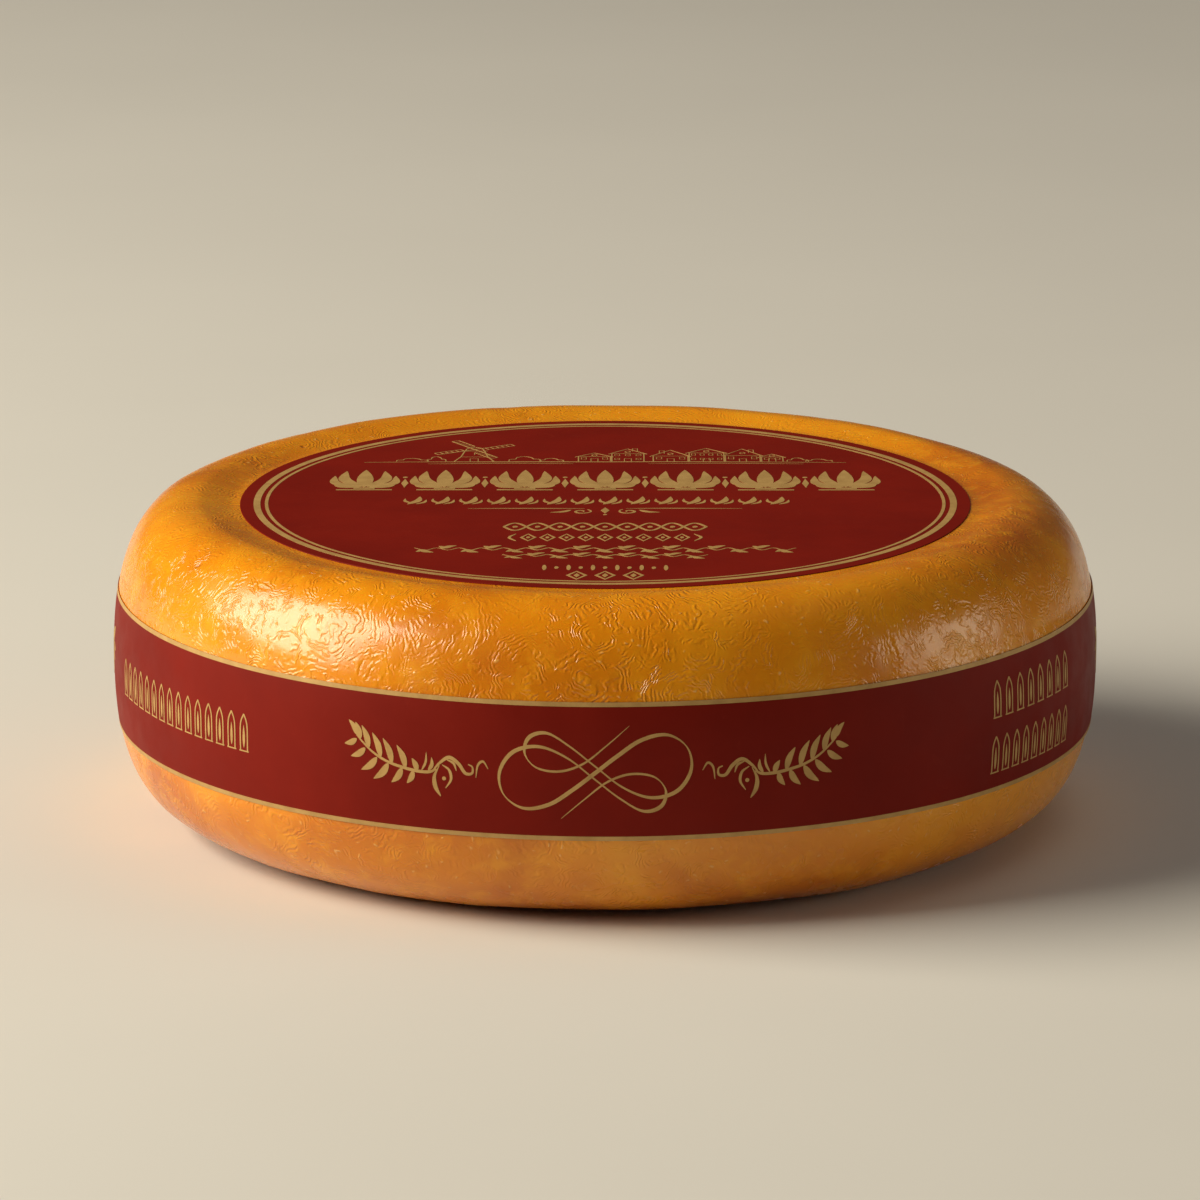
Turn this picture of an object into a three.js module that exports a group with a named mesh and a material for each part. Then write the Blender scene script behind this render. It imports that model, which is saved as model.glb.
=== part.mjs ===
// A wheel of cheese in a glossy coat, with a round paper label glued on its top face and a printed
// paper band wrapped once round its side. Millimetres, +Z up. It stands on z = 0, centred on the Z
// axis, with its front to -Y and the lap of the band at the back.

import * as THREE from 'three';

// The wheel
const wheelDiameter = 359;
const wheelHeight = 116.5; // base to the soft rim round the top face
const bellyRise = 4.5; // widest line above half height
const shoulderWidth = 30.5; // from the widest line in to the crest of the rim
const rimWidth = 13; // from the crest of the rim in to the flat top face
const topDip = 2.5; // top face below the crest of the rim
const heelWidth = 53.5; // from the widest line in to the edge of the flat base

// How full the rounded stretches are: the share of its rise or its width that each one runs
// straight on before it turns.
const shoulderFullness = { rise: 0.85, width: 0.43 };
const heelFullness = { rise: 0.6, width: 0.93 };
const rimFullness = 0.5;

// The paper
const paperThickness = 0.3;
const glueGap = 0.3; // paper to cheese, and lap to band
const labelMargin = 2.5; // bare top face outside the label
const bandWidth = 49.5;
const bandDrop = 2.4; // middle of the band below the widest line
const bandOverlap = 18; // length of the glued lap at the back
const lapRamp = 12; // length over which the outer end climbs onto the inner one

// How finely the round shapes are stepped
const sidesAround = 96;
const stepsPerBend = 8;
const stepsAcrossBand = 10;

// What follows from the sizes above
const bellyRadius = wheelDiameter / 2;
const bellyHeight = wheelHeight / 2 + bellyRise;
const crestRadius = bellyRadius - shoulderWidth;
const topFaceRadius = crestRadius - rimWidth;
const topFaceHeight = wheelHeight - topDip;
const baseRadius = bellyRadius - heelWidth;
const facetDip = bellyRadius * (1 - Math.cos(Math.PI / sidesAround)); // flats inside the true round

const coatMaterial = new THREE.MeshStandardMaterial({ color: 0xd9861c, roughness: 0.32, metalness: 0 });
const paperMaterial = new THREE.MeshStandardMaterial({ color: 0x7d1a14, roughness: 0.5, metalness: 0 });

// A bend that leaves the widest line upright and ends level at (radius, height).
function bendFromBelly(radius, height, fullness) {
  const belly = new THREE.Vector2(bellyRadius, bellyHeight);
  const end = new THREE.Vector2(radius, height);
  const upright = new THREE.Vector2(bellyRadius, bellyHeight + fullness.rise * (height - bellyHeight));
  const level = new THREE.Vector2(radius + fullness.width * (bellyRadius - radius), height);
  return [belly, upright, level, end];
}

// The side of the wheel as one curve, from the edge of the base up to the crest of the rim.
function sideCurve() {
  const heel = bendFromBelly(baseRadius, 0, heelFullness);
  const shoulder = bendFromBelly(crestRadius, wheelHeight, shoulderFullness);
  const side = new THREE.CurvePath();
  side.add(new THREE.CubicBezierCurve(...heel.reverse()));
  side.add(new THREE.CubicBezierCurve(...shoulder));
  return side;
}

// The soft step from the crest of the rim down to the top face.
function rimCurve() {
  const reach = rimFullness * rimWidth;
  return new THREE.CubicBezierCurve(
    new THREE.Vector2(crestRadius, wheelHeight),
    new THREE.Vector2(crestRadius - reach, wheelHeight),
    new THREE.Vector2(topFaceRadius + reach, topFaceHeight),
    new THREE.Vector2(topFaceRadius, topFaceHeight),
  );
}

// Turns a profile of (radius, height) points about the Z axis.
function turned(profile) {
  return new THREE.LatheGeometry(profile, sidesAround).rotateX(Math.PI / 2);
}

function wheelGeometry() {
  const outline = [
    new THREE.Vector2(0, 0),
    ...sideCurve().getPoints(stepsPerBend),
    ...rimCurve().getPoints(stepsPerBend).slice(1),
    new THREE.Vector2(0, topFaceHeight),
  ];
  return turned(outline);
}

function labelGeometry() {
  const labelRadius = topFaceRadius - labelMargin;
  const underside = topFaceHeight + glueGap;
  return turned([
    new THREE.Vector2(0, underside),
    new THREE.Vector2(labelRadius, underside),
    new THREE.Vector2(labelRadius, underside + paperThickness),
    new THREE.Vector2(0, underside + paperThickness),
  ]);
}

// The band starts as a flat strip: length along X, thickness along Y, width along Z. Each point is
// carried onto the side of the wheel, and the last stretch climbs over the end that it covers.
function bandGeometry() {
  const side = sideCurve();
  const [heelLength, sideLength] = side.getCurveLengths();
  const stripLength = 2 * Math.PI * bellyRadius + bandOverlap;
  const strip = new THREE.BoxGeometry(
    stripLength, paperThickness, bandWidth, sidesAround, 1, stepsAcrossBand,
  );
  const points = strip.getAttribute('position');
  const lapStart = stripLength / 2 - bandOverlap;
  const at = new THREE.Vector3();
  for (let i = 0; i < points.count; i++) {
    at.fromBufferAttribute(points, i);
    const along = (heelLength + at.z - bandDrop) / sideLength;
    const foot = side.getPointAt(along);
    const upward = side.getTangentAt(along);
    const climb = THREE.MathUtils.smoothstep(-at.x, lapStart - lapRamp, lapStart);
    const lift = glueGap + facetDip + climb * (paperThickness + glueGap);
    const standOff = lift + paperThickness / 2 + at.y;
    const radius = foot.x + upward.y * standOff;
    const angle = -at.x / bellyRadius;
    points.setXYZ(i, radius * Math.sin(angle), -radius * Math.cos(angle), foot.y - upward.x * standOff);
  }
  strip.computeVertexNormals();
  return strip;
}

function piece(name, geometry, material) {
  const mesh = new THREE.Mesh(geometry, material);
  mesh.name = name;
  return mesh;
}

const cheese = new THREE.Group();
cheese.add(piece('cheese_wheel', wheelGeometry(), coatMaterial));
cheese.add(piece('top_label', labelGeometry(), paperMaterial));
cheese.add(piece('side_band', bandGeometry(), paperMaterial));

export default cheese;
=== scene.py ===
from math import ceil, cos, pi, radians, sin

import bmesh
import bpy
import numpy as np
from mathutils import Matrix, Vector, noise


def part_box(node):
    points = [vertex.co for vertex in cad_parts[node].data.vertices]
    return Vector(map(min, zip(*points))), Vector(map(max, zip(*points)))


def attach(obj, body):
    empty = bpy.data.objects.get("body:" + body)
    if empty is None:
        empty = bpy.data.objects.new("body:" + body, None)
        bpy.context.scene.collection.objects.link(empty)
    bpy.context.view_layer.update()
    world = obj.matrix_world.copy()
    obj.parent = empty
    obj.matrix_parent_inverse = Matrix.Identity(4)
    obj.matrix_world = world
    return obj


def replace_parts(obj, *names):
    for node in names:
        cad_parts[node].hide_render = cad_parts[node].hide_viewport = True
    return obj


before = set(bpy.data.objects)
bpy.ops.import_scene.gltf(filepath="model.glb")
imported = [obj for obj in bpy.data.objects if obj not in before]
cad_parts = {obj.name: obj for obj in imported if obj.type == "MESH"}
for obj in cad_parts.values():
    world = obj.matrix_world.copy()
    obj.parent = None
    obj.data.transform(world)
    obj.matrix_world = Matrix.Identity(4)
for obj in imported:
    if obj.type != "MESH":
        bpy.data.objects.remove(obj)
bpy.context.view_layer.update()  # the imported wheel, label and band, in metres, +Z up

scene = bpy.context.scene
mm = 0.001
wheelLow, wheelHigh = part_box("cheese_wheel")
labelLow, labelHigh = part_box("top_label")
bandLow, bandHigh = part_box("side_band")

# sizes of the wheel's outline, the CAD part's own but for the slope beside the label
wheel = {
    "radius": wheelHigh.x,
    "height": wheelHigh.z,
    "bellyRise": 0.0045,  # widest line above half height
    "shoulderWidth": 0.0305,
    "rimWidth": 0.013,
    "topDip": 0.0025,
    "heelWidth": 0.0535,
    "shoulderRise": 0.85,  # how full the bends are
    "shoulderReach": 0.43,
    "heelRise": 0.6,
    "heelReach": 0.93,
    "rimReach": 0.15,  # a gentler slope down to the label than the CAD part has
    "stepsAround": 720,
    "fineStep": 0.00132,  # between rows where the rind shows
    "bandStep": 0.009,  # between rows under the band
    "baseStep": 0.018,
    "faceStep": 0.027,  # under the label
}
wheel["bellyHeight"] = wheel["height"] / 2 + wheel["bellyRise"]

cameraSet = {
    "distance": 2.872,  # from the middle of the wheel's widest line
    "elevation": 14.24,  # degrees above the horizon
    "lens": 234.5,
    "aimSide": -0.0019,  # the aim is a touch left of and above the middle
    "aimRise": 0.0144,
}


def placeCamera(c, bellyHeight):
    tilt = radians(c["elevation"])
    spot = Vector((0, -c["distance"] * cos(tilt), bellyHeight + c["distance"] * sin(tilt)))
    aim = Vector((c["aimSide"], 0, bellyHeight + c["aimRise"]))
    data = bpy.data.cameras.new("camera")
    data.lens = c["lens"]
    data.clip_end = 50
    camera = bpy.data.objects.new("camera", data)
    camera.location = spot
    camera.rotation_euler = (aim - spot).to_track_quat("-Z", "Y").to_euler()
    scene.collection.objects.link(camera)
    scene.camera = camera


placeCamera(cameraSet, wheel["bellyHeight"])
print("camera placed")


def bend(start, leaving, arriving, end, steps=150):
    t = np.linspace(0, 1, steps)[:, None]
    knots = [np.array(k) for k in (start, leaving, arriving, end)]
    shares = (1 - t) ** 3, 3 * t * (1 - t) ** 2, 3 * t * t * (1 - t), t ** 3
    return sum(share * knot for share, knot in zip(shares, knots))


def makeOutline(w):
    belly = (w["radius"], w["bellyHeight"])
    base = (w["radius"] - w["heelWidth"], 0.0)
    crest = (w["radius"] - w["shoulderWidth"], w["height"])
    face = (crest[0] - w["rimWidth"], w["height"] - w["topDip"])
    rimReach = w["rimReach"] * w["rimWidth"]
    heel = bend(base, (base[0] + w["heelReach"] * w["heelWidth"], 0.0),
                (belly[0], belly[1] * (1 - w["heelRise"])), belly)
    shoulder = bend(belly, (belly[0], belly[1] + w["shoulderRise"] * (crest[1] - belly[1])),
                    (crest[0] + w["shoulderReach"] * w["shoulderWidth"], crest[1]), crest)
    rim = bend(crest, (crest[0] - rimReach, crest[1]), (face[0] + rimReach, face[1]), face)
    points = np.vstack([(0, 0), heel, shoulder[1:], rim[1:], (0, face[1])])
    arc = np.concatenate([[0], np.cumsum(np.hypot(*np.diff(points, axis=0).T))])
    return {"r": points[:, 0], "z": points[:, 1], "arc": arc, "baseEdge": arc[1],
            "belly": arc[len(heel)], "end": arc[-1], "faceHeight": face[1]}


outline = makeOutline(wheel)


def outlineAt(arc):  # radius, height and outward direction at lengths along the outline
    r, z = (np.interp(arc, outline["arc"], outline[key]) for key in "rz")
    reach = 0.0008  # the direction is taken between points this far to each side
    r2, z2 = (np.interp(arc + reach, outline["arc"], outline[key]) for key in "rz")
    r1, z1 = (np.interp(arc - reach, outline["arc"], outline[key]) for key in "rz")
    length = np.hypot(r2 - r1, z2 - z1)
    return r, z, (z2 - z1) / length, (r1 - r2) / length


label = {
    "radius": labelHigh.x,
    "underside": labelLow.z,
    "top": labelHigh.z,
    "edgeShare": 0.4,  # how much of its thickness the softened edge takes
    "cockle": 0.00007,  # faint waviness of the glued paper
    "stepsAround": 240,
    "stepsOut": 44,
}
band = {
    "width": 0.0495,
    "drop": 0.0024,  # middle of the band below the widest line
    "overlap": 0.018,
    "lapRamp": 0.012,
    "thickness": label["top"] - label["underside"],
    "gap": label["underside"] - outline["faceHeight"],
    "cockle": 0.00008,
    "stepsAround": 480,
    "stepsAcross": 24,
}
band["middle"] = outline["belly"] - band["drop"]
band["length"] = 2 * pi * wheel["radius"] + band["overlap"]


def smoothStep(low, high, value):
    share = np.clip((value - low) / (high - low), 0, 1)
    return share * share * (3 - 2 * share)


def noiseAt(points, scale, shift=0.0):
    return np.array([noise.noise(p) for p in (points * scale + shift).tolist()])


paperWave = {"broad": 22, "fine": 50, "fineShare": 0.5}


def cockle(points, size):
    fine = paperWave["fineShare"] * noiseAt(points, paperWave["fine"])
    return size * (noiseAt(points, paperWave["broad"]) + fine)


def onLabel(x, y, rise):  # millimetres on the label, to metres in the frame
    flat = np.column_stack([x, y, np.zeros(len(x))]) * mm
    flat[:, 2] = label["top"] + cockle(flat, label["cockle"]) + rise * mm
    return flat


def onBand(along, up, rise):  # millimetres round from the front and up from the band's middle
    angle = along * mm / wheel["radius"]
    r, z, outR, outZ = outlineAt(band["middle"] + up * mm)
    lapStart = band["length"] / 2 - band["overlap"]
    climb = smoothStep(lapStart - band["lapRamp"], lapStart, along * mm)
    wave = cockle(np.column_stack([r * np.sin(angle), -r * np.cos(angle), z]), band["cockle"])
    layer = band["thickness"] + band["gap"]
    lift = layer + climb * layer + wave + rise * mm
    r, z = r + outR * lift, z + outZ * lift
    return np.column_stack([r * np.sin(angle), -r * np.cos(angle), z])


def newMaterial(name):
    made = bpy.data.materials.new(name)
    made.use_nodes = True
    made.node_tree.nodes.clear()
    return made


def addNode(tree, kind, inputs, **settings):
    made = tree.nodes.new("ShaderNode" + kind)
    for key, value in settings.items():
        setattr(made, key, value)
    for key, value in inputs.items():
        if isinstance(value, bpy.types.NodeSocket):
            tree.links.new(value, made.inputs[key])
        else:
            made.inputs[key].default_value = value
    return made


def addRamp(tree, value, stops):  # stops are (place, grey or colour)
    made = addNode(tree, "ValToRGB", {"Fac": value})
    line = made.color_ramp.elements
    while len(line) < len(stops):
        line.new(0.5)
    for element, (place, tone) in zip(line, stops):
        element.position = place
        element.color = (*tone, 1) if isinstance(tone, tuple) else (tone, tone, tone, 1)
    return made.outputs["Color"]


def addMath(tree, kind, first, second=0.0, third=0.0):
    return addNode(tree, "Math", {0: first, 1: second, 2: third}, operation=kind).outputs[0]


def addNoise(tree, spot, scale, detail=2.0, rough=0.5, warp=0.0, output="Fac"):
    made = addNode(tree, "TexNoise", {"Vector": spot, "Scale": scale, "Detail": detail,
                                      "Roughness": rough, "Distortion": warp})
    return made.outputs[output]


def addRange(tree, value, low, high, toLow, toHigh):
    return addNode(tree, "MapRange", {"Value": value, "From Min": low, "From Max": high,
                                      "To Min": toLow, "To Max": toHigh}).outputs[0]


def addMix(tree, share, first, second):
    made = addNode(tree, "Mix", {0: share}, data_type="RGBA")
    for key, value in ((6, first), (7, second)):
        if isinstance(value, bpy.types.NodeSocket):
            tree.links.new(value, made.inputs[key])
        else:
            made.inputs[key].default_value = (*value, 1)
    return made.outputs[2]


def addBump(tree, height, distance):
    inputs = {"Height": height, "Distance": distance, "Strength": 1.0}
    return addNode(tree, "Bump", inputs).outputs["Normal"]


def finishMaterial(material, inputs):
    tree = material.node_tree
    shader = addNode(tree, "BsdfPrincipled", inputs)
    out = addNode(tree, "OutputMaterial", {})
    tree.links.new(shader.outputs["BSDF"], out.inputs["Surface"])
    return material


rindLook = {
    "deep": (0.52, 0.128, 0.001),
    "middle": (0.75, 0.248, 0.0015),
    "pale": (0.88, 0.37, 0.008),
    "toneScale": 10,  # slow changes of colour round the wheel
    "cloudScale": 85,  # small pale clouds
    "cloudShare": 0.5,
    "wander": 0.012,  # how far the wrinkles stray from true rings
    "wanderScale": 75,
    "tremble": 7.0,
    "trembleScale": 210,
    "broadCells": 33,  # wrinkles run in rings round scattered points
    "broadGap": 0.0017,
    "narrowCells": 50,
    "narrowGap": 0.00135,
    "swapScale": 38,  # areas of broad and of narrow wrinkles
    "breakScale": 240,  # short gaps along each wrinkle
    "calmScale": 13,  # areas where the wrinkles are weaker
    "calmShare": 0.3,
    "wrinkleDepth": 0.00011,
    "wrinklePale": 0.28,
    # the flecks' pale colour is partly their own and partly painted highlight, standing in for glints on
    # the raised specks
    "fleckAndGlintTone": (0.90, 0.52, 0.14),
    "fleckScale": 250,
    "fleckSize": 0.2,
    "fleckShare": 0.55,
    "fleckDepth": 0.00018,
    "pitTone": (0.36, 0.07, 0.001),
    "pitScale": 34,
    "pitSize": 0.06,
    "pitShare": 0.9,
    "pitDepth": 0.0005,
    "dotStrength": 0.8,  # how strongly flecks and pits are coloured
    "grainScale": 650,
    "grainDepth": 0.00003,
    "glossScale": 60,
    "roughness": (0.2, 0.3),
}


def addStray(tree, spot, look):  # the place moved a little, so that no ring is quite round
    stray = addNoise(tree, spot, look["wanderScale"], 3, 0.6, 0, "Color")
    reach = (look["wander"],) * 3
    made = addNode(tree, "VectorMath", {0: stray, 1: reach, 2: spot}, operation="MULTIPLY_ADD")
    return made.outputs[0]


def addRings(tree, spot, cells, gap, stray):  # evenly spaced ridges round scattered points
    made = addNode(tree, "TexVoronoi", {"Vector": spot, "Scale": cells, "Randomness": 1.0})
    turns = addMath(tree, "MULTIPLY_ADD", made.outputs["Distance"], 2 * pi / (gap * cells), stray)
    return addMath(tree, "SINE", turns)


def addWrinkles(tree, spot, loose, look):
    tremble = addMath(tree, "MULTIPLY", addNoise(tree, spot, look["trembleScale"], 2), look["tremble"])
    broad = addRings(tree, loose, look["broadCells"], look["broadGap"], tremble)
    narrow = addRings(tree, loose, look["narrowCells"], look["narrowGap"], tremble)
    either = addRange(tree, addNoise(tree, spot, look["swapScale"], 1), 0.46, 0.54, 0.0, 1.0)
    ridges = addNode(tree, "Mix", {0: either, 2: broad, 3: narrow}).outputs[0]
    broken = addRange(tree, addNoise(tree, spot, look["breakScale"], 1), 0.43, 0.56, 0.0, 1.0)
    busy = addRange(tree, addNoise(tree, spot, look["calmScale"], 2), 0.38, 0.62, look["calmShare"], 1.0)
    return addMath(tree, "MULTIPLY", ridges, addMath(tree, "MULTIPLY", broken, busy))


def addDots(tree, spot, scale, size, share):  # small spots in a share of the cells
    made = addNode(tree, "TexVoronoi", {"Vector": spot, "Scale": scale, "Randomness": 1.0})
    dots = addRamp(tree, made.outputs["Distance"], [(0.0, 1.0), (size, 0.0)])
    chosen = addNode(tree, "SeparateColor", {"Color": made.outputs["Color"]}).outputs[0]
    return addMath(tree, "MULTIPLY", dots, addMath(tree, "LESS_THAN", chosen, share))


def addRindTone(tree, spot, loose, ridges, flecks, pits, look):
    stops = [(0.3, look["deep"]), (0.5, look["middle"]), (0.8, look["pale"])]
    tone = addRamp(tree, addNoise(tree, spot, look["toneScale"], 3, 0.55, 0.6), stops)
    clouds = addNoise(tree, loose, look["cloudScale"], 3, 0.6)
    clouds = addRange(tree, clouds, 0.5, 0.72, 0.0, look["cloudShare"])
    tone = addMix(tree, clouds, tone, look["pale"])
    crests = addRange(tree, ridges, 0.1, 1.0, 0.0, look["wrinklePale"])
    tone = addMix(tree, crests, tone, look["pale"])
    # pale flecks, partly painted highlight, and darker pits are mixed into the tone
    for dots, dotTone in ((flecks, look["fleckAndGlintTone"]), (pits, look["pitTone"])):
        tone = addMix(tree, addMath(tree, "MULTIPLY", dots, look["dotStrength"]), tone, dotTone)
    return tone


def addRindHeight(tree, spot, ridges, flecks, pits, look):
    height = addMath(tree, "MULTIPLY", addNoise(tree, spot, look["grainScale"], 1), look["grainDepth"])
    height = addMath(tree, "MULTIPLY_ADD", ridges, look["wrinkleDepth"], height)
    height = addMath(tree, "MULTIPLY_ADD", flecks, look["fleckDepth"], height)
    return addMath(tree, "MULTIPLY_ADD", pits, -look["pitDepth"], height)


def makeRindMaterial(look):
    material = newMaterial("glossy_rind")
    tree = material.node_tree
    spot = addNode(tree, "TexCoord", {}).outputs["Object"]
    loose = addStray(tree, spot, look)
    ridges = addWrinkles(tree, spot, loose, look)
    flecks = addDots(tree, loose, look["fleckScale"], look["fleckSize"], look["fleckShare"])
    pits = addDots(tree, loose, look["pitScale"], look["pitSize"], look["pitShare"])
    tone = addRindTone(tree, spot, loose, ridges, flecks, pits, look)
    height = addRindHeight(tree, spot, ridges, flecks, pits, look)
    rough = addRange(tree, addNoise(tree, spot, look["glossScale"], 2), 0.3, 0.7, *look["roughness"])
    return finishMaterial(material, {
        "Base Color": tone, "Roughness": rough, "Normal": addBump(tree, height, 1.0),
        "Subsurface Weight": 0.12, "Subsurface Radius": (1.0, 0.3, 0.05), "Subsurface Scale": 0.004,
        "Specular IOR Level": 0.5, "Coat Weight": 0.15, "Coat Roughness": 0.12,
    })


paperLook = {
    "red": (0.200, 0.0082, 0.0026),
    "dark": (0.160, 0.0058, 0.0018),
    "toneScale": 22,
    "scuff": (0.27, 0.025, 0.012),
    "scuffScale": 75,
    "scuffShare": 0.35,
    "fibreScale": 1500,
    "fibreDepth": 0.00002,
    "glossScale": 90,
    "roughness": (0.46, 0.58),
}


def makePaperMaterial(look):
    material = newMaterial("red_label_paper")
    tree = material.node_tree
    spot = addNode(tree, "TexCoord", {}).outputs["Object"]
    tone = addNoise(tree, spot, look["toneScale"], 5, 0.6)
    tone = addRamp(tree, tone, [(0.3, look["dark"]), (0.7, look["red"])])
    worn = addRamp(tree, addNoise(tree, spot, look["scuffScale"], 6, 0.7, 1.5), [(0.62, 0.0), (0.8, 1.0)])
    tone = addMix(tree, addMath(tree, "MULTIPLY", worn, look["scuffShare"]), tone, look["scuff"])
    fibres = addNoise(tree, spot, look["fibreScale"], 4, 0.65)
    rough = addRange(tree, addNoise(tree, spot, look["glossScale"], 3), 0.3, 0.7, *look["roughness"])
    return finishMaterial(material, {
        "Base Color": tone, "Roughness": rough, "Normal": addBump(tree, fibres, look["fibreDepth"]),
        "Specular IOR Level": 0.1,
    })


goldLook = {
    "gold": (0.53, 0.33, 0.115),
    "dull": (0.43, 0.255, 0.085),
    "toneScale": 160,
    "grainScale": 1800,
    "grainDepth": 0.00001,
}


def makeGoldMaterial(look):
    material = newMaterial("gold_ink")
    tree = material.node_tree
    spot = addNode(tree, "TexCoord", {}).outputs["Object"]
    tone = addNoise(tree, spot, look["toneScale"], 4, 0.6)
    tone = addRamp(tree, tone, [(0.32, look["dull"]), (0.66, look["gold"])])
    grain = addNoise(tree, spot, look["grainScale"], 3, 0.6)
    return finishMaterial(material, {
        "Base Color": tone, "Roughness": 0.5, "Metallic": 0.15,
        "Normal": addBump(tree, grain, look["grainDepth"]), "Specular IOR Level": 0.3,
    })


rindMaterial = makeRindMaterial(rindLook)
paperMaterial = makePaperMaterial(paperLook)
goldMaterial = makeGoldMaterial(goldLook)
print("materials made")


def finishPiece(name, bm, material):
    bmesh.ops.recalc_face_normals(bm, faces=bm.faces)
    mesh = bpy.data.meshes.new(name)
    bm.to_mesh(mesh)
    bm.free()
    mesh.polygons.foreach_set("use_smooth", [True] * len(mesh.polygons))
    mesh.set_sharp_from_angle(angle=radians(40))
    mesh.materials.append(material)
    piece = bpy.data.objects.new(name, mesh)
    scene.collection.objects.link(piece)
    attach(piece, "root")
    print(name, "made,", len(mesh.polygons), "faces")
    return piece


def placeVerts(bm, spots):
    for v, spot in zip(bm.verts, spots):
        v.co = spot


rind = {
    "swell": 0.0008,  # slow unevenness of a pressed wheel
    "swellScale": 9,
    "dimple": 0.0004,
    "dimpleScale": 32,
    "wrinkle": 0.00009,  # broad soft wrinkles of the coat
    "wrinkleScale": 95,
    "patchScale": 19,  # areas with more and with fewer of them
    "fade": 0.003,  # over which the relief dies out beside paper
    "tuck": 0.0005,  # how far that reaches in under the band
    "heelFade": 0.004,  # over which it dies out above the flat base
    "sideFrom": 0.9,  # share of the radius beyond which the band can lie
    "gapFilled": 0.95,  # how much of the glue gap the coat closes
    "baseTurn": 0.008,  # the close rows start this far inside the base's edge
}


def wheelRows(w):  # lengths along the outline, close together where the rind shows
    halfBand = band["width"] / 2 - rind["fade"]
    baseTurn = outline["baseEdge"] - rind["baseTurn"]
    labelEdge = outline["end"] - label["radius"] + rind["fade"]
    spans = [
        (0, baseTurn, w["baseStep"]),
        (baseTurn, band["middle"] - halfBand, w["fineStep"]),
        (band["middle"] - halfBand, band["middle"] + halfBand, w["bandStep"]),
        (band["middle"] + halfBand, labelEdge, w["fineStep"]),
        (labelEdge, outline["end"], w["faceStep"]),
    ]
    rows = [0.0]
    for low, high, step in spans:
        count = ceil((high - low) / step)
        rows += [low + (high - low) * (k + 1) / count for k in range(count)]
    return np.array(rows)


def bareShare(out, z):  # 1 where the rind shows, 0 under the papers and on the base
    fade, tuck = rind["fade"], rind["tuck"]
    onTop = smoothStep(label["radius"], label["radius"] + fade, out)
    onHeel = smoothStep(0.0, rind["heelFade"], z)
    bare = np.where(z > wheel["bellyHeight"], onTop, onHeel)
    aboveBand = smoothStep(bandHigh.z - tuck, bandHigh.z + fade, z)
    belowBand = 1 - smoothStep(bandLow.z - fade, bandLow.z + tuck, z)
    beside = np.maximum(aboveBand, belowBand)
    return np.where(out > wheel["radius"] * rind["sideFrom"], np.minimum(bare, beside), bare)


def rindRelief(points):  # the shifts keep the patterns from following one another
    slow = rind["swell"] * noiseAt(points, rind["swellScale"])
    dents = rind["dimple"] * noiseAt(points, rind["dimpleScale"], 3.7)
    folds = noiseAt(points, rind["wrinkleScale"], 9.1)
    patch = smoothStep(-0.35, 0.3, noiseAt(points, rind["patchScale"], 5.3))
    return slow + dents + rind["wrinkle"] * patch * (1 - 3 * np.abs(folds))


def makeWheel(w):  # a flat grid wrapped round the outline and closed where its edges meet
    rows = wheelRows(w)
    bm = bmesh.new()
    bmesh.ops.create_grid(bm, x_segments=w["stepsAround"], y_segments=len(rows) - 1, size=0.5)
    flat = np.array([v.co for v in bm.verts])
    angle = (flat[:, 0] + 0.5) * 2 * pi
    row = np.rint((flat[:, 1] + 0.5) * (len(rows) - 1)).astype(int)
    r, z, outR, outZ = outlineAt(rows[row])
    spots = np.column_stack([r * np.cos(angle), r * np.sin(angle), z])
    lift = smoothStep(0.0, rind["heelFade"], z) * band["gap"] * rind["gapFilled"]
    lift += bareShare(r, z) * rindRelief(spots)
    r, z = r + outR * lift * (r > 0), np.maximum(z + outZ * lift, 0)
    placeVerts(bm, np.column_stack([r * np.cos(angle), r * np.sin(angle), z]))
    bmesh.ops.remove_doubles(bm, verts=bm.verts, dist=1e-6)
    return finishPiece("rind", bm, rindMaterial)


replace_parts(makeWheel(wheel), "cheese_wheel")


def makeLabel(part):
    bm = bmesh.new()
    edge = part["edgeShare"] * (part["top"] - part["underside"])
    profile = [(0, part["top"])]
    profile += [(part["radius"] * k / part["stepsOut"], part["top"]) for k in range(1, part["stepsOut"])]
    profile += [(part["radius"] - edge, part["top"]), (part["radius"], part["top"] - edge),
                (part["radius"], part["underside"]), (0, part["underside"])]
    chain = [bm.verts.new((r, 0, z)) for r, z in profile]
    for a, b in zip(chain, chain[1:]):
        bm.edges.new((a, b))
    bmesh.ops.spin(bm, geom=bm.verts[:] + bm.edges[:], cent=(0, 0, 0), axis=(0, 0, 1), dvec=(0, 0, 0),
                   angle=2 * pi, steps=part["stepsAround"], use_merge=True, use_duplicate=False)
    bmesh.ops.remove_doubles(bm, verts=bm.verts, dist=1e-6)
    spots = np.array([v.co for v in bm.verts])
    ground = spots * (1, 1, 0)
    spots[:, 2] += (spots[:, 2] > part["underside"] + edge) * cockle(ground, part["cockle"])
    placeVerts(bm, spots)
    return finishPiece("label_paper", bm, paperMaterial)


def makeBand(part):  # a flat strip given its thickness, then wrapped round the side
    bm = bmesh.new()
    bmesh.ops.create_grid(bm, x_segments=part["stepsAround"], y_segments=part["stepsAcross"], size=0.5)
    grown = bmesh.ops.extrude_face_region(bm, geom=bm.faces[:])
    lifted = [g for g in grown["geom"] if isinstance(g, bmesh.types.BMVert)]
    bmesh.ops.translate(bm, verts=lifted, vec=(0, 0, 1))
    along, up, top = np.array([v.co for v in bm.verts]).T
    placeVerts(bm, onBand(along * part["length"] / mm, up * part["width"] / mm,
                          (top - 1) * part["thickness"] / mm))
    return finishPiece("band_paper", bm, paperMaterial)


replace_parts(makeLabel(label), "top_label")
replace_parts(makeBand(band), "side_band")


pointed = {"leaf": 0.04, "disc": 0.02, "scroll": 0.12}  # half width left at a stroke's ends


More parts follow.
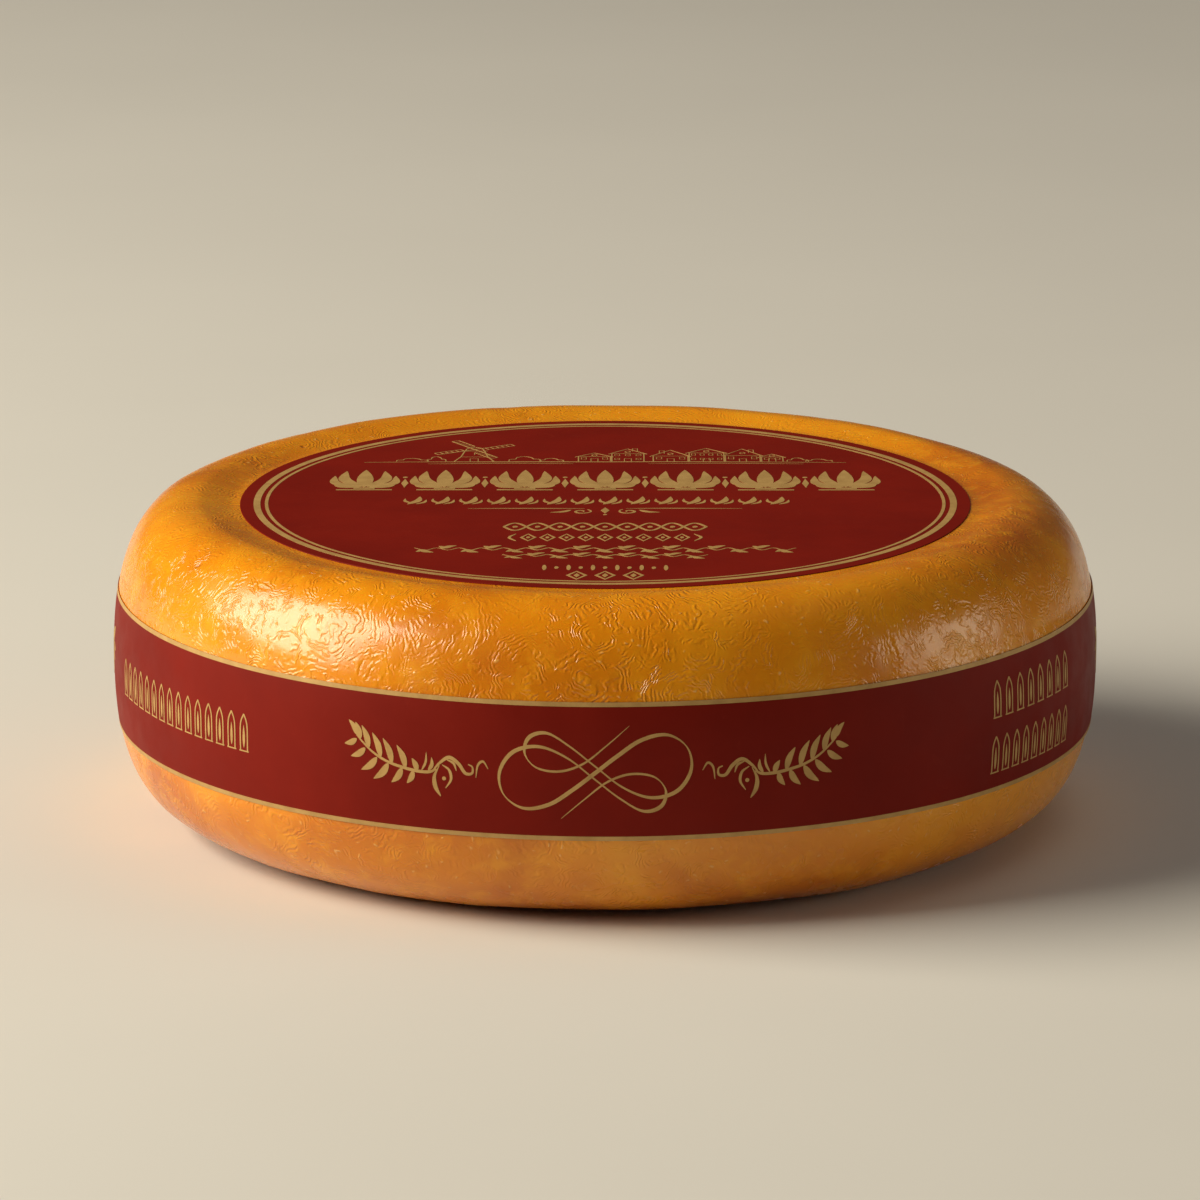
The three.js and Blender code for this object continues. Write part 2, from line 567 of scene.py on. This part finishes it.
# every printed ornament is a run of strokes: a middle line with half widths, in millimetres
def stroke(points, halves, closed=False):
    points = np.array(points, float)
    halves = np.broadcast_to(np.array(halves, float), len(points))
    return {"points": points, "halves": halves, "closed": closed}


def pen(points, width, closed=False):
    return stroke(points, width / 2, closed)


def curved(knots, steps=8):  # a smooth line through the knots
    k = np.array(knots, float)
    k = np.vstack([2 * k[0] - k[1], k, 2 * k[-1] - k[-2]])
    t = np.linspace(0, 1, steps, endpoint=False)[:, None]
    line = []
    for a, b, c, d in zip(k, k[1:], k[2:], k[3:]):
        line.append(b + t / 2 * (c - a + t * (2 * a - 5 * b + 4 * c - d + t * (3 * (b - c) + d - a))))
    return np.vstack(line + [k[-2:-1]])


def tapered(knots, thick, thin=0.1, steps=8, swell=0.5):  # swell places the thickest part
    line = curved(knots, steps)
    share = np.linspace(0, 1, len(line)) ** (np.log(0.5) / np.log(swell))
    return stroke(line, thin / 2 + (thick - thin) / 2 * np.sin(pi * share))


def leaf(base, tip, bow, width, steps=8):  # bow moves the midrib sideways
    (x1, y1), (x2, y2) = base, tip
    middle = ((x1 + x2) / 2 - (y2 - y1) * bow, (y1 + y2) / 2 + (x2 - x1) * bow)
    line = curved([base, middle, tip], steps)
    share = np.linspace(0, 1, len(line))
    return stroke(line, width / 2 * np.sin(pi * share ** 0.8) ** 0.85 + pointed["leaf"])


def lozenge(x, y, wide, high):
    end = pointed["leaf"]
    return stroke([(x, y - high / 2), (x, y), (x, y + high / 2)], [end, wide / 2, end])


def disc(x, y, wide, high=None, steps=12):
    turn = np.linspace(0, pi, steps + 1)
    high = high or wide
    halves = wide / 2 * np.sin(turn) + pointed["disc"]
    return stroke([(x, y - high / 2 * cos(t)) for t in turn], halves)


def oval(x, y, wide, high, width, steps=28):
    turn = np.linspace(0, 2 * pi, steps, endpoint=False)
    return pen([(x + wide / 2 * cos(t), y + high / 2 * sin(t)) for t in turn], width, True)


def curl(x, y, outer, inner, start, turns, thick, steps=26):  # a scroll that winds inwards
    share = np.linspace(0, 1, steps)
    reach = outer + (inner - outer) * share
    turn = start + 2 * pi * turns * share
    line = np.column_stack([x + reach * np.cos(turn), y + reach * np.sin(turn)])
    end = pointed["scroll"]
    return stroke(line, end + (thick / 2 - end) * np.sin(pi * (0.1 + 0.8 * share)))


def moved(strokes, dx=0.0, dy=0.0, flip=False, turn=0.0):
    c, s = cos(turn), sin(turn)
    made = []
    for one in strokes:
        x, y = one["points"].T
        x = -x if flip else x
        points = np.column_stack([c * x - s * y + dx, s * x + c * y + dy])
        made.append({"points": points, "halves": one["halves"], "closed": one["closed"]})
    return made


def bothSides(strokes):
    return strokes + moved(strokes, flip=True)


labelPrint = {
    "rings": [(127.3, 2.5), (123.8, 1.2)],  # radius and width
    "ringSteps": 220,
    "groundLine": 63.8,
    "friezeMiddle": 33.0,
    "friezeHigh": 33.0,
    "friezePitch": 29.6,
    "palmetteWide": 24.5,
    "palmettesBeside": 3,  # on each side of the middle one
    "bud": (2.6, 14),  # width and height
    "budDrop": 5,  # below the frieze's middle
    "dotWide": 1.8,
    "dotRise": 4.6,
}


def makeRings(part):
    return [oval(0, 0, 2 * r, 2 * r, w, part["ringSteps"]) for r, w in part["rings"]]


def opening(x, y, wide, high, width, closed=False):  # a door, a window or a chimney
    left, right = x - wide / 2, x + wide / 2
    return pen([(left, y), (left, y + high), (right, y + high), (right, y)], width, closed)


windmillPlan = {
    "fine": 0.34,
    "bold": 0.52,
    "tower": [(7.4, 0), (5.0, 8), (3.7, 17.5)],  # one side, from the ground up
    "eaves": (4.8, 17.5),  # half width and height
    "gallery": (5.1, 7.6),
    "cap": [(-3.6, 17.5), (-2.7, 21.5), (0, 23.6), (2.7, 21.5), (3.6, 17.5)],
    "door": (3.0, 4.6),
    "slit": (11, 14),  # lower and upper end of a narrow window
    "hubHeight": 20,
    "hubWide": 1.8,
    "sailLong": 16,
    "sailWide": 2.9,
    "sailStart": 4.5,
    "rungPitch": 2.3,
    "rungs": 6,
    "sailTurn": radians(33),
}


def windmill(x, y, p):
    fine, bold = p["fine"], p["bold"]
    strokes = [pen([(x + side * out, y + up) for out, up in p["tower"]], bold) for side in (-1, 1)]
    for (half, up), width in ((p["eaves"], bold), (p["gallery"], fine)):
        strokes.append(pen([(x - half, y + up), (x + half, y + up)], width))
    strokes.append(pen(curved([(x + out, y + up) for out, up in p["cap"]], 5), bold))
    strokes.append(opening(x, y, *p["door"], fine))
    strokes.append(pen([(x, y + up) for up in p["slit"]], fine))
    sail = [pen([(0, 0), (0, p["sailLong"])], bold)]
    sail.append(pen([(p["sailWide"], p["sailStart"]), (p["sailWide"], p["sailLong"])], fine))
    for k in range(p["rungs"]):
        up = p["sailStart"] + p["rungPitch"] * k
        sail.append(pen([(0, up), (p["sailWide"], up)], fine))
    for quarter in range(4):
        strokes += moved(sail, x, y + p["hubHeight"], turn=p["sailTurn"] + quarter * pi / 2)
    strokes.append(disc(x, y + p["hubHeight"], p["hubWide"]))
    return strokes


housePlan = {
    "fine": 0.33,
    "bold": 0.48,
    "eaveOut": 1.2,  # how far the roof stands out past the walls
    "eaveDrop": 0.8,
    "windowWide": 2.2,  # at most
    "windowShare": 0.45,  # of the space between windows, where that is less
    "windowHigh": 0.36,  # shares of a floor
    "windowRise": 0.42,
    "doorClear": 1.0,  # no window on the ground floor nearer the door than this
    "door": (2.6, 4.6),
    "gable": (2.0, 2.6),  # the oval in the gable
    "gableRise": 0.38,
    "chimneyWide": 1.8,
    "chimneyHigh": 4.6,
    "chimneySink": 0.6,
}


def house(x, y, wide, wall, roof, columns, floors, chimney, p):
    fine, bold = p["fine"], p["bold"]
    half, top = wide / 2, y + wall
    strokes = [pen([(side, y), (side, top)], bold) for side in (x - half, x + half)]
    left, right = x - half - p["eaveOut"], x + half + p["eaveOut"]
    eaves = top - p["eaveDrop"]
    strokes.append(pen([(left, eaves), (x, top + roof), (right, eaves)], bold))
    strokes.append(pen([(x - half, top), (x + half, top)], fine))
    pitch = wide / columns
    across = min(p["windowWide"], pitch * p["windowShare"])
    for floor in range(floors):
        sill = y + wall * (floor + p["windowRise"]) / floors
        for k in range(columns):
            side = x - half + pitch * (k + 0.5)
            if floor > 0 or abs(side - x) > p["doorClear"]:
                strokes.append(opening(side, sill, across, wall / floors * p["windowHigh"], fine, True))
    strokes.append(opening(x, y, *p["door"], fine))
    strokes.append(oval(x, top + roof * p["gableRise"], *p["gable"], fine, 12))
    if chimney:
        foot = top + roof * (1 - abs(chimney)) - p["chimneySink"]
        strokes.append(opening(x + half * chimney, foot, p["chimneyWide"], p["chimneyHigh"], fine))
    return strokes


bushPlan = {
    "knots": [(-0.5, 0.0), (-0.47, 0.4), (-0.3, 0.45), (-0.24, 0.82), (0.0, 1.0),
              (0.2, 0.8), (0.28, 0.5), (0.46, 0.42), (0.5, 0.0)],
    "width": 0.42,
}


def bush(x, y, wide, high, p):
    return [pen(curved([(x + a * wide, y + b * high) for a, b in p["knots"]], 5), p["width"])]


landscape = {
    "windmillAt": -49,
    # place, width, height of wall and roof, columns and floors of windows, place of the chimney
    "houses": [
        (-4, 12, 8, 6, 3, 1, 0), (8.5, 12, 13, 8, 3, 2, 0.45), (24.5, 13, 9, 10, 3, 1, -0.5),
        (38, 13, 14.5, 7.5, 4, 2, 0), (51.5, 13, 10, 11, 3, 1, 0.5), (62.5, 8, 7.5, 5, 2, 1, 0),
    ],
    "bushes": [(-72, 12, 5), (-63, 7, 8), (-30, 12, 8), (-20, 9, 5), (72, 8, 6), (80, 10, 4)],
    "ground": [(-90, -1.6), (-50, -0.6), (0, -0.9), (45, -0.5), (90, -1.8)],
    "ripples": [[(-66, -4.2), (-40, -3.0), (-12, -3.8)], [(16, -3.8), (46, -2.8), (74, -4)]],
}


def makeLandscape(part, y):
    strokes = windmill(part["windmillAt"], y, windmillPlan)
    for x, *sizes in part["houses"]:
        strokes += house(x, y, *sizes, housePlan)
    for x, wide, high in part["bushes"]:
        strokes += bush(x, y, wide, high, bushPlan)
    strokes.append(tapered([(x, y + up) for x, up in part["ground"]], 0.9, 0.25, 20))
    for ripple in part["ripples"]:
        strokes.append(tapered([(x, y + up) for x, up in ripple], 0.6, 0.15, 14))
    return strokes


palmettePlan = {
    "stem": 5,  # height of the middle leaf above the foot
    "stemLeaf": 0.25,
    # start in millimetres, tip as shares of the palmette's width and height, bow, share of width
    "sideLeaves": [
        ((1.0, 5), (0.29, 0.44), -0.13, 0.19),
        ((1.6, 4.4), (0.46, 0.2), -0.22, 0.16),
        ((1.8, 4.2), (0.46, -0.1), -0.26, 0.11),
    ],
    "steps": [(0.42, 0.7, 1.4), (0.16, 3.2, 2.0)],  # half width as a share, height, thickness
}


def palmette(wide, high, p):  # a fan of leaves on a stepped foot
    foot = -high / 2
    strokes = [leaf((0, foot + p["stem"]), (0, high / 2), 0.0, wide * p["stemLeaf"])]
    for (x, up), (tipX, tipY), bow, broad in p["sideLeaves"]:
        strokes += bothSides([leaf((x, foot + up), (wide * tipX, high * tipY), bow, wide * broad)])
    for half, up, thick in p["steps"]:
        strokes.append(pen([(-wide * half, foot + up), (wide * half, foot + up)], thick))
    return strokes


def makeFrieze(part):  # a bold row of palmettes with slim buds between them
    middle, pitch, beside = part["friezeMiddle"], part["friezePitch"], part["palmettesBeside"]
    one = palmette(part["palmetteWide"], part["friezeHigh"], palmettePlan)
    strokes = []
    for k in range(-beside, beside + 1):
        strokes += moved(one, k * pitch, middle)
    for k in range(-beside, beside):
        x = (k + 0.5) * pitch
        strokes.append(lozenge(x, middle - part["budDrop"], *part["bud"]))
        strokes.append(disc(x, middle + part["dotRise"], part["dotWide"]))
    return strokes


def slantedLeaves(x):  # three leaves from one foot
    return [
        leaf((x - 2.2, -6), (x + 2.2, 6.2), -0.12, 2.7, 7),
        leaf((x + 0.8, -5.8), (x + 4.6, 1.2), -0.16, 1.3, 5),
        leaf((x - 0.8, -4), (x - 3.2, 2.8), 0.16, 1.2, 5),
    ]


vinePlan = {
    "sway": 0.16,  # shares of the vine's height, as are the leaves' tips and widths
    "stem": (0.8, 0.4),
    "joint": (-1.5, 0.5),  # where the leaves start, in millimetres
    "longTip": (3.0, 0.5),  # millimetres along, share up
    "longWide": 0.26,
    "shortTip": (-3.4, 0.42),
    "shortWide": 0.2,
    "bow": 0.14,
}


def vine(half, y, high, leaves, p):  # a waving stem with small leaves on alternate sides
    steps = leaves * 2
    sway = high * p["sway"]
    knots = [(-half + 2 * half * k / steps, y + sway * (-1) ** k) for k in range(steps + 1)]
    strokes = [tapered(knots, *p["stem"], 4)]
    for k in range(leaves):
        x = -half + 2 * half * (k + 0.5) / leaves
        side = 1 if k % 2 else -1
        joint = (x + p["joint"][0], y + side * p["joint"][1])
        longTip = (x + p["longTip"][0], y + side * high * p["longTip"][1])
        shortTip = (x + p["shortTip"][0], y + side * high * p["shortTip"][1])
        strokes.append(leaf(joint, longTip, p["bow"] * side, high * p["longWide"], 5))
        strokes.append(leaf(joint, shortTip, -p["bow"] * side, high * p["shortWide"], 5))
    return strokes


def braid(half, y, high, waves, width):  # two crossing waves with a bead in every eye
    x = np.linspace(-half, half, waves * 16 + 1)
    swing = high / 2 * np.sin(pi * waves * (x + half) / (2 * half))
    strokes = [pen(np.column_stack([x, y + side * swing]), width) for side in (1, -1)]
    strokes += [disc(-half + 2 * half * (k + 0.5) / waves, y, 1.9, 2.6, 8) for k in range(waves)]
    return strokes


def hollowLozenge(x, y, wide, high, width):
    corners = [(x, y - high / 2), (x + wide / 2, y), (x, y + high / 2), (x - wide / 2, y)]
    return pen(corners, width, True)


labelRows = {
    "leafGroups": 14,
    "leafStart": -70,
    "leafPitch": 10.2,
    "dividerLine": [(7.5, -12.7), (25, -12.4), (50, -12.7)],
    "dividerScroll": (8.6, -17.2, 3.8, 0.7),  # place, outer and inner reach
    "dividerLeaf": [(12.4, -14.8), (20, -18.6)],
    "dividerBud": (0, -15.6, 3.2, 9),  # place, width and height
    "dividerDot": (0, -22.2, 1.4),
    "braid": (36.5, -41.3, 11.2, 9, 1.05),  # half length, place, height, waves, line
    "lozengesBeside": 4,
    "lozengePitch": 6.9,
    "lozengeMiddle": -57.8,
    "lozenge": (5, 10.4, 0.95),  # width, height and line
    "lozengeDot": (1.3, 2.6),
    "bracket": [(32, -52.4), (34.4, -57.8), (32, -63.2)],
    "vines": [(68, -75.4, 10.4, 17), (36.5, -85.4, 8.4, 9)],  # half length, place, height, leaves
    "beadsBeside": 5,
    "beadPitch": 4.3,
    "beadMiddle": -103.4,
    "beadWide": 1.5,
    "beadsHigh": (3.4, 7.6),  # by turns
    "lastPitch": 10,
    "lastMiddle": -114.8,
    "lastLozenge": (6.4, 11.6, 1.2),
    "lastBud": (2.2, 5.4),
}


def makeRows(part):
    strokes = []
    for k in range(part["leafGroups"]):
        strokes += slantedLeaves(part["leafStart"] + part["leafPitch"] * k)
    strokes += bothSides([tapered(part["dividerLine"], 0.85, 0.2, 10)])
    scroll = curl(*part["dividerScroll"], pi * 0.7, 1.2, 1.0)
    strokes += bothSides([scroll, leaf(*part["dividerLeaf"], -0.14, 2.0)])
    strokes += [lozenge(*part["dividerBud"]), disc(*part["dividerDot"])]
    strokes += braid(*part["braid"])
    small = [hollowLozenge(0, 0, *part["lozenge"]), disc(0, 0, *part["lozengeDot"], 8)]
    for k in range(-part["lozengesBeside"], part["lozengesBeside"] + 1):
        strokes += moved(small, k * part["lozengePitch"], part["lozengeMiddle"])
    strokes += bothSides([tapered(part["bracket"], 1.1, 0.3)])
    for sizes in part["vines"]:
        strokes += vine(*sizes, vinePlan)
    for k in range(-part["beadsBeside"], part["beadsBeside"] + 1):
        high = part["beadsHigh"][k % 2]
        strokes.append(disc(k * part["beadPitch"], part["beadMiddle"], part["beadWide"], high, 8))
    for k in (-1, 0, 1):
        x = k * part["lastPitch"]
        strokes.append(hollowLozenge(x, part["lastMiddle"], *part["lastLozenge"]))
        strokes.append(lozenge(x, part["lastMiddle"], *part["lastBud"]))
    return strokes


flourish = {
    "knots": [
        (0, 0), (7.6, 6.0), (16, 11.6), (25, 13.2), (31.8, 8.6), (33.2, 0.6), (28.4, -6.8),
        (19.4, -9.0), (9.6, -5.2), (0.2, 2.2), (-8.6, 9.2), (-16.6, 13.8), (-22.8, 12.2),
        (-24.4, 6.6), (-20.4, 1.6), (-12.4, 0.4), (-4.2, 3.2), (3.6, 9.4), (11.8, 16.6),
    ],
    "thin": 0.42,
    "thick": 1.4,
    "tail": 0.14,  # width at both ends
    "tailShare": 0.3,  # of each half, over which it thins out
    "nib": radians(-52),
    "steps": 9,
}


def loopedFlourish(f):  # one sweep, the same turned half round, drawn with a broad nib
    knots = np.array(f["knots"], float)
    line = curved(np.vstack([-knots[:0:-1], knots]), f["steps"])
    slope = np.gradient(line, axis=0)
    press = np.abs(np.sin(np.arctan2(slope[:, 1], slope[:, 0]) - f["nib"])) ** 1.3
    share = np.abs(np.linspace(-1, 1, len(line)))
    fading = np.clip((1 - share) / f["tailShare"], 0, 1) ** 0.8
    width = f["tail"] + fading * (f["thin"] - f["tail"] + (f["thick"] - f["thin"]) * press)
    return [stroke(line, width / 2)]


branch = {
    "scroll": [(44.3, 1.4), (42.8, 0.5), (43, -1.7), (45.4, -1.8), (47.8, 1.4), (51.2, 3.4),
               (54.6, 1.2), (57.2, -1.8)],
    "twig": [(56, -1.2), (58.6, -2.4), (63, -2.5), (68, -1.8), (74, -0.4), (79.6, 2.2),
             (84.2, 5.8), (86.4, 7.9)],
    "leavesBetween": (0.30, 0.90),  # shares of the twig
    "upperLeaves": (4.8, 8.6, 9.4, 9.2, 8.4, 6.2),  # lengths, from the scroll outwards
    "upperLean": 66,  # degrees
    "lowerLeaves": (5.4, 7.0, 8.6, 8.2, 6.8, 5.4),
    "lowerLean": -62,
    "lastLeafTip": (89.6, 12.8),
    "largeHook": [(54.8, 0.2), (56.6, -3.7), (56.3, -7.5), (54.4, -10.8)],
    "smallHook": [(53.8, 0.6), (51.2, -1.2), (50.6, -4.5), (52.6, -7.8)],
    "berry": (53.1, -4.3, 1.4),
    "spur": [(52.2, 2.6), (49.6, 1.4), (48.6, -1.2)],
    "comma": [(41.6, -3.2), (40.9, 1.2), (39.0, 2.8), (37.2, 0.2)],
    "buds": [((58.9, -2.0), (57.6, 2.9), 0.14, 1.3), ((61.4, -2.2), (59.6, 4.6), 0.1, 0.8)],
}


def leaningLeaf(x, y, long, lean, bow, width):
    turn = radians(lean)
    return leaf((x, y), (x + long * cos(turn), y + long * sin(turn)), bow, width)


def leafyBranches(b):  # a scroll beside the flourish that grows into a leafy twig, on both sides
    line = curved(b["twig"], 8)
    strokes = [tapered(b["scroll"], 1.3, 0.45, 8, 0.62), tapered(b["twig"], 1.1, 0.45, 8, 0.3)]
    places = np.linspace(*b["leavesBetween"], len(b["upperLeaves"]))
    for k, share in enumerate(places):
        x, y = line[int(share * (len(line) - 1))]
        long = b["upperLeaves"][k]
        strokes.append(leaningLeaf(x, y, long, b["upperLean"] + k, 0.07, 1.6 + 0.08 * long))
        long = b["lowerLeaves"][k]
        lean = b["lowerLean"] + 7.5 * k
        strokes.append(leaningLeaf(x + 1.4, y, long, lean, -0.09, 1.2 + 0.15 * long))
    strokes.append(leaf(tuple(line[-1]), b["lastLeafTip"], 0.1, 1.9))
    strokes.append(tapered(b["largeHook"], 1.6, 0.3, 8, 0.6))
    strokes.append(tapered(b["smallHook"], 1.0, 0.25))
    strokes.append(disc(*b["berry"]))
    strokes.append(tapered(b["spur"], 0.85, 0.25))
    strokes.append(tapered(b["comma"], 0.85, 0.2))
    strokes += [leaf(*bud, 6) for bud in b["buds"]]
    return bothSides(strokes)


lancetPlan = {
    "half": 1.8,
    "bend": (0.72, 0.32),  # where the side turns in, shares of the half width and height
    "sillOut": 0.6,
    "sillLine": 0.8,  # share of the arch's line
    "budFoot": 1.2,
    "budWide": 1.15,
    "line": 0.6,
}


def lancet(high, p):  # a slim pointed arch with a bud inside
    low, half, sill = -high / 2, p["half"], p["half"] + p["sillOut"]
    turnX, turnY = p["bend"]
    arch = [(-half, low), (-half, high * 0.1), (-half * turnX, high * turnY), (0, high / 2)]
    strokes = bothSides([pen(curved(arch, 4), p["line"])])
    strokes.append(leaf((0, low + p["budFoot"]), (0, high * 0.2), 0.0, p["budWide"], 6))
    strokes.append(pen([(-sill, low), (sill, low)], p["line"] * p["sillLine"]))
    return strokes


def lancetRow(half, count, high, y):
    strokes = []
    for k in range(count):
        strokes += moved(lancet(high, lancetPlan), -half + 2 * half * k / (count - 1), y)
    return strokes


ink = {
    "thickness": 0.07,
    "sink": 0.05,  # how far the print reaches down into the paper
    "stagger": 0.004,  # strokes that cross lie at slightly different heights
    "staggerCount": 9,
}


def addStroke(bm, order, one, lift):
    points, halves = one["points"], one["halves"]
    if one["closed"]:
        along = np.roll(points, -1, axis=0) - np.roll(points, 1, axis=0)
    else:
        along = np.gradient(points, axis=0)
    along /= np.maximum(np.hypot(*along.T), 1e-9)[:, None]
    side = np.column_stack([-along[:, 1], along[:, 0]]) * halves[:, None]
    left = [bm.verts.new((x, y, lift)) for x, y in points + side]
    for index, v in enumerate(left):
        v[order] = index
    following = left[1:] + left[:1] if one["closed"] else left[1:]
    edges = [bm.edges.new(pair) for pair in zip(left, following)]
    made = bmesh.ops.extrude_edge_only(bm, edges=edges)
    right = points - side
    for g in made["geom"]:
        if isinstance(g, bmesh.types.BMVert):
            g.co.x, g.co.y = right[g[order]]


def printInk(name, strokes, place):
    bm = bmesh.new()
    order = bm.verts.layers.int.new("order")
    for index, one in enumerate(strokes):
        lift = index % ink["staggerCount"] * ink["stagger"] - ink["sink"]
        addStroke(bm, order, one, lift)
    grown = bmesh.ops.extrude_face_region(bm, geom=bm.faces[:])
    raised = [g for g in grown["geom"] if isinstance(g, bmesh.types.BMVert)]
    bmesh.ops.translate(bm, verts=raised, vec=(0, 0, ink["sink"] + ink["thickness"]))
    bm.verts.layers.int.remove(order)
    placeVerts(bm, place(*np.array([v.co for v in bm.verts]).T))
    return finishPiece(name, bm, goldMaterial)


printInk("label_rings", makeRings(labelPrint), onLabel)
printInk("label_landscape", makeLandscape(landscape, labelPrint["groundLine"]), onLabel)
printInk("label_frieze", makeFrieze(labelPrint), onLabel)
printInk("label_rows", makeRows(labelRows), onLabel)

bandPrint = {
    "edgeWidth": 1.6,
    "edgeSteps": 480,
    "groupsAt": (-1.1, 111, -111),  # degrees round from the front
    "singleRowAt": (-59.4, 159.5),
    "singleRow": (45.5, 15, 13.4, 0.5),  # half length, count, height, place up from the middle
    "doubleRowAt": (58.3, -162),
    "doubleRows": [(25, 8, 13.2, 9.4), (25.6, 9, 13.2, -10.8)],
}


def roundTo(angle):  # millimetres along the band at that many degrees from the front
    return radians(angle) * wheel["radius"] / mm


def makeEdgeLines(part):
    half = band["width"] / mm / 2 - part["edgeWidth"] / 2
    line = np.linspace(-1, 1, part["edgeSteps"]) * band["length"] / mm / 2
    return [pen(np.column_stack([line, line * 0 + y]), part["edgeWidth"]) for y in (-half, half)]


def atAngles(strokes, angles):
    return [one for angle in angles for one in moved(strokes, roundTo(angle))]


def makeArches(part):
    strokes = atAngles(lancetRow(*part["singleRow"]), part["singleRowAt"])
    for row in part["doubleRows"]:
        strokes += atAngles(lancetRow(*row), part["doubleRowAt"])
    return strokes


printInk("band_edge_lines", makeEdgeLines(bandPrint), onBand)
printInk("band_flourishes", atAngles(loopedFlourish(flourish), bandPrint["groupsAt"]), onBand)
printInk("band_branches", atAngles(leafyBranches(branch), bandPrint["groupsAt"]), onBand)
printInk("band_rows", makeArches(bandPrint), onBand)


floorSet = {
    "half": 8,
    "tone": (0.72, 0.70, 0.67),
    "shade": 0.97,  # how much darker its faint clouds are
}


def makeFloor(f):
    material = newMaterial("pale_floor")
    tree = material.node_tree
    spot = addNode(tree, "TexCoord", {}).outputs["Object"]
    shaded = tuple(part * f["shade"] for part in f["tone"])
    tone = addRamp(tree, addNoise(tree, spot, 3, 3), [(0.3, shaded), (0.7, f["tone"])])
    finishMaterial(material, {"Base Color": tone, "Roughness": 0.7, "Specular IOR Level": 0.2})
    bm = bmesh.new()
    bmesh.ops.create_grid(bm, x_segments=1, y_segments=1, size=f["half"])
    mesh = bpy.data.meshes.new("floor")
    bm.to_mesh(mesh)
    bm.free()
    mesh.materials.append(material)
    floor = bpy.data.objects.new("floor", mesh)
    scene.collection.objects.link(floor)


lamps = {
    "left_window": {
        "spot": (-2.88, -0.32, 1.78),
        "size": (2.6, 2.0),
        "power": 195,
        "tone": (1.0, 0.92, 0.74),
        "mirrored": True,  # seen in the coat's gloss
    },
    "right_window": {
        "spot": (3.2, -0.16, 0.78),
        "size": (1.8, 1.0),
        "power": 17,
        "tone": (1.0, 0.92, 0.74),
        "mirrored": True,
    },
    "overhead": {
        "spot": (1.0, 0.6, 3.7),
        "size": (3.2, 2.4),
        "power": 14,
        "tone": (1.0, 0.92, 0.82),
        "mirrored": False,
    },
}
sky = {"tone": (1.0, 0.92, 0.84), "strength": 0.05}


def makeLamp(name, part):
    data = bpy.data.lights.new(name, "AREA")
    data.shape = "RECTANGLE"
    data.size, data.size_y = part["size"]
    data.energy = part["power"]
    data.color = part["tone"]
    lamp = bpy.data.objects.new(name, data)
    lamp.location = part["spot"]
    lamp.visible_glossy = part["mirrored"]
    aim = Vector((0, 0, wheel["bellyHeight"]))
    lamp.rotation_euler = (aim - Vector(part["spot"])).to_track_quat("-Z", "Y").to_euler()
    scene.collection.objects.link(lamp)


def makeSky(part):
    world = bpy.data.worlds.new("studio")
    world.use_nodes = True
    background = world.node_tree.nodes["Background"]
    background.inputs["Color"].default_value = (*part["tone"], 1)
    background.inputs["Strength"].default_value = part["strength"]
    scene.world = world


makeFloor(floorSet)
for name, part in lamps.items():
    makeLamp(name, part)
makeSky(sky)
scene.view_settings.view_transform = "Standard"
print("stage lit")
